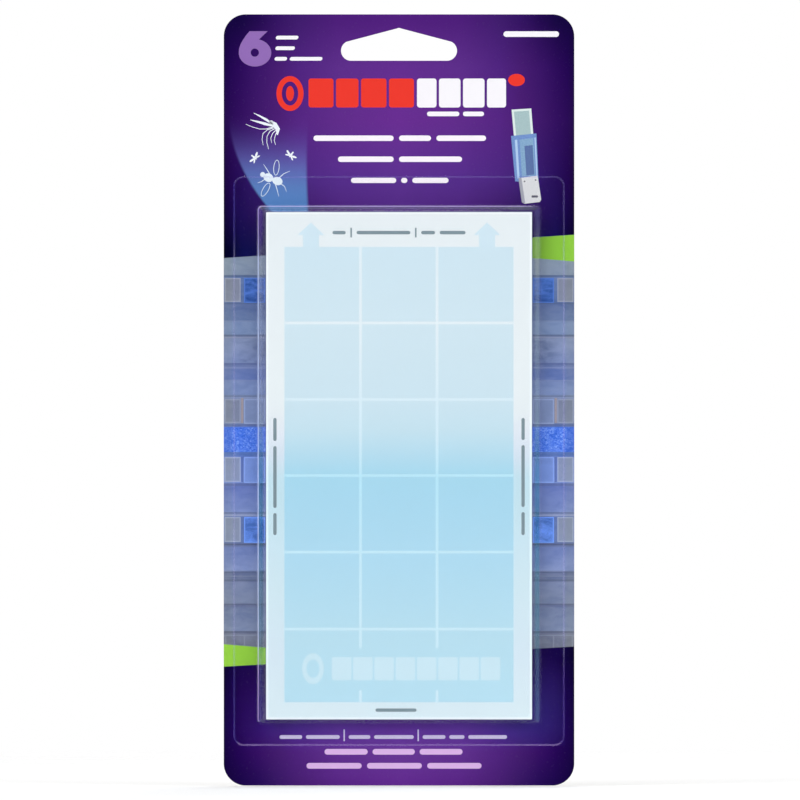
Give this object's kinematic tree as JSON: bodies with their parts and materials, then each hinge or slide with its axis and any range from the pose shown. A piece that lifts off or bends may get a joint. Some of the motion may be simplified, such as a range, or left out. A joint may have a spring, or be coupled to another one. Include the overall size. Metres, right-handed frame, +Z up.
{
  "type": "carded insect glue board pack",
  "caption": "Flat hanging retail card with a clear heat-sealed blister holding a stack of rectangular glue boards, each with a peel-off release liner, used as refills for an insect trap.",
  "frame": {"origin": "centre of the bounding box's underside: midway across the width and depth, at the level of the card's bottom edge", "axes": "+X to the right seen from the front, +Y out of the back of the card, +Z up towards the hang hole"},
  "size_m": [0.127, 0.0082, 0.2794],
  "materials": {
    "printed_card": "gloss varnished print over white board",
    "blister_film": "clear thermoformed polyester, high gloss",
    "board_card": "white board printed with a pale blue grid",
    "adhesive": "clear tacky hot-melt adhesive, wet look",
    "liner_film": "clear release film, slightly hazy"
  },
  "bodies": {
    "card": {"backing_card": "printed_card"},
    "blister": {"clear_blister": "blister_film"},
    "board_1": {"board_1_card": "board_card", "board_1_glue": "adhesive"},
    "liner_1": {"board_1_liner": "liner_film"},
    "board_2": {"board_2_card": "board_card", "board_2_glue": "adhesive"},
    "liner_2": {"board_2_liner": "liner_film"},
    "board_3": {"board_3_card": "board_card", "board_3_glue": "adhesive"},
    "liner_3": {"board_3_liner": "liner_film"},
    "board_4": {"board_4_card": "board_card", "board_4_glue": "adhesive"},
    "liner_4": {"board_4_liner": "liner_film"},
    "board_5": {"board_5_card": "board_card", "board_5_glue": "adhesive"},
    "liner_5": {"board_5_liner": "liner_film"},
    "board_6": {"board_6_card": "board_card", "board_6_glue": "adhesive"},
    "liner_6": {"board_6_liner": "liner_film"}
  },
  "joints": [
    {"name": "blister_open", "type": "hinge", "parent": "card", "child": "blister", "pos_m": [-0.06005, 0.00313, 0.11775], "axis": [0, 0, -1], "range_deg": [0, 130]},
    {"name": "board_1_turn", "type": "hinge", "parent": "card", "child": "board_1", "pos_m": [-0.06005, 0.00313, 0.11775], "axis": [0, 0, -1], "range_deg": [0, 55]},
    {"name": "liner_1_peel", "type": "hinge", "parent": "board_1", "child": "liner_1", "pos_m": [-0.04725, -0.00271, 0.1159], "axis": [0, 0, -1], "range_deg": [0, 40]},
    {"name": "board_2_turn", "type": "hinge", "parent": "card", "child": "board_2", "pos_m": [-0.06005, 0.00313, 0.11775], "axis": [0, 0, -1], "range_deg": [0, 45]},
    {"name": "liner_2_peel", "type": "hinge", "parent": "board_2", "child": "liner_2", "pos_m": [-0.04725, -0.00167, 0.1159], "axis": [0, 0, -1], "range_deg": [0, 5]},
    {"name": "board_3_turn", "type": "hinge", "parent": "card", "child": "board_3", "pos_m": [-0.06005, 0.00313, 0.11775], "axis": [0, 0, -1], "range_deg": [0, 35]},
    {"name": "liner_3_peel", "type": "hinge", "parent": "board_3", "child": "liner_3", "pos_m": [-0.04725, -0.00061, 0.1159], "axis": [0, 0, -1], "range_deg": [0, 5]},
    {"name": "board_4_turn", "type": "hinge", "parent": "card", "child": "board_4", "pos_m": [-0.06005, 0.00313, 0.11775], "axis": [0, 0, -1], "range_deg": [0, 25]},
    {"name": "liner_4_peel", "type": "hinge", "parent": "board_4", "child": "liner_4", "pos_m": [-0.04725, 0.00044, 0.1159], "axis": [0, 0, -1], "range_deg": [0, 5]},
    {"name": "board_5_turn", "type": "hinge", "parent": "card", "child": "board_5", "pos_m": [-0.06005, 0.00313, 0.11775], "axis": [0, 0, -1], "range_deg": [0, 15]},
    {"name": "liner_5_peel", "type": "hinge", "parent": "board_5", "child": "liner_5", "pos_m": [-0.04725, 0.00148, 0.1159], "axis": [0, 0, -1], "range_deg": [0, 5]},
    {"name": "board_6_turn", "type": "hinge", "parent": "card", "child": "board_6", "pos_m": [-0.06005, 0.00313, 0.11775], "axis": [0, 0, -1], "range_deg": [0, 5]},
    {"name": "liner_6_peel", "type": "hinge", "parent": "board_6", "child": "liner_6", "pos_m": [-0.04725, 0.00253, 0.1159], "axis": [0, 0, -1], "range_deg": [0, 5]}
  ],
  "couplings": [
    {"joint": "board_1_turn", "follows": "blister_open", "ratio": 0.42308},
    {"joint": "liner_1_peel", "follows": "blister_open", "ratio": 0.30769},
    {"joint": "board_2_turn", "follows": "blister_open", "ratio": 0.34615},
    {"joint": "liner_2_peel", "follows": "blister_open", "ratio": 0.038462},
    {"joint": "board_3_turn", "follows": "blister_open", "ratio": 0.26923},
    {"joint": "liner_3_peel", "follows": "blister_open", "ratio": 0.038462},
    {"joint": "board_4_turn", "follows": "blister_open", "ratio": 0.19231},
    {"joint": "liner_4_peel", "follows": "blister_open", "ratio": 0.038462},
    {"joint": "board_5_turn", "follows": "blister_open", "ratio": 0.11538},
    {"joint": "liner_5_peel", "follows": "blister_open", "ratio": 0.038462},
    {"joint": "board_6_turn", "follows": "blister_open", "ratio": 0.038462},
    {"joint": "liner_6_peel", "follows": "blister_open", "ratio": 0.038462}
  ]
}
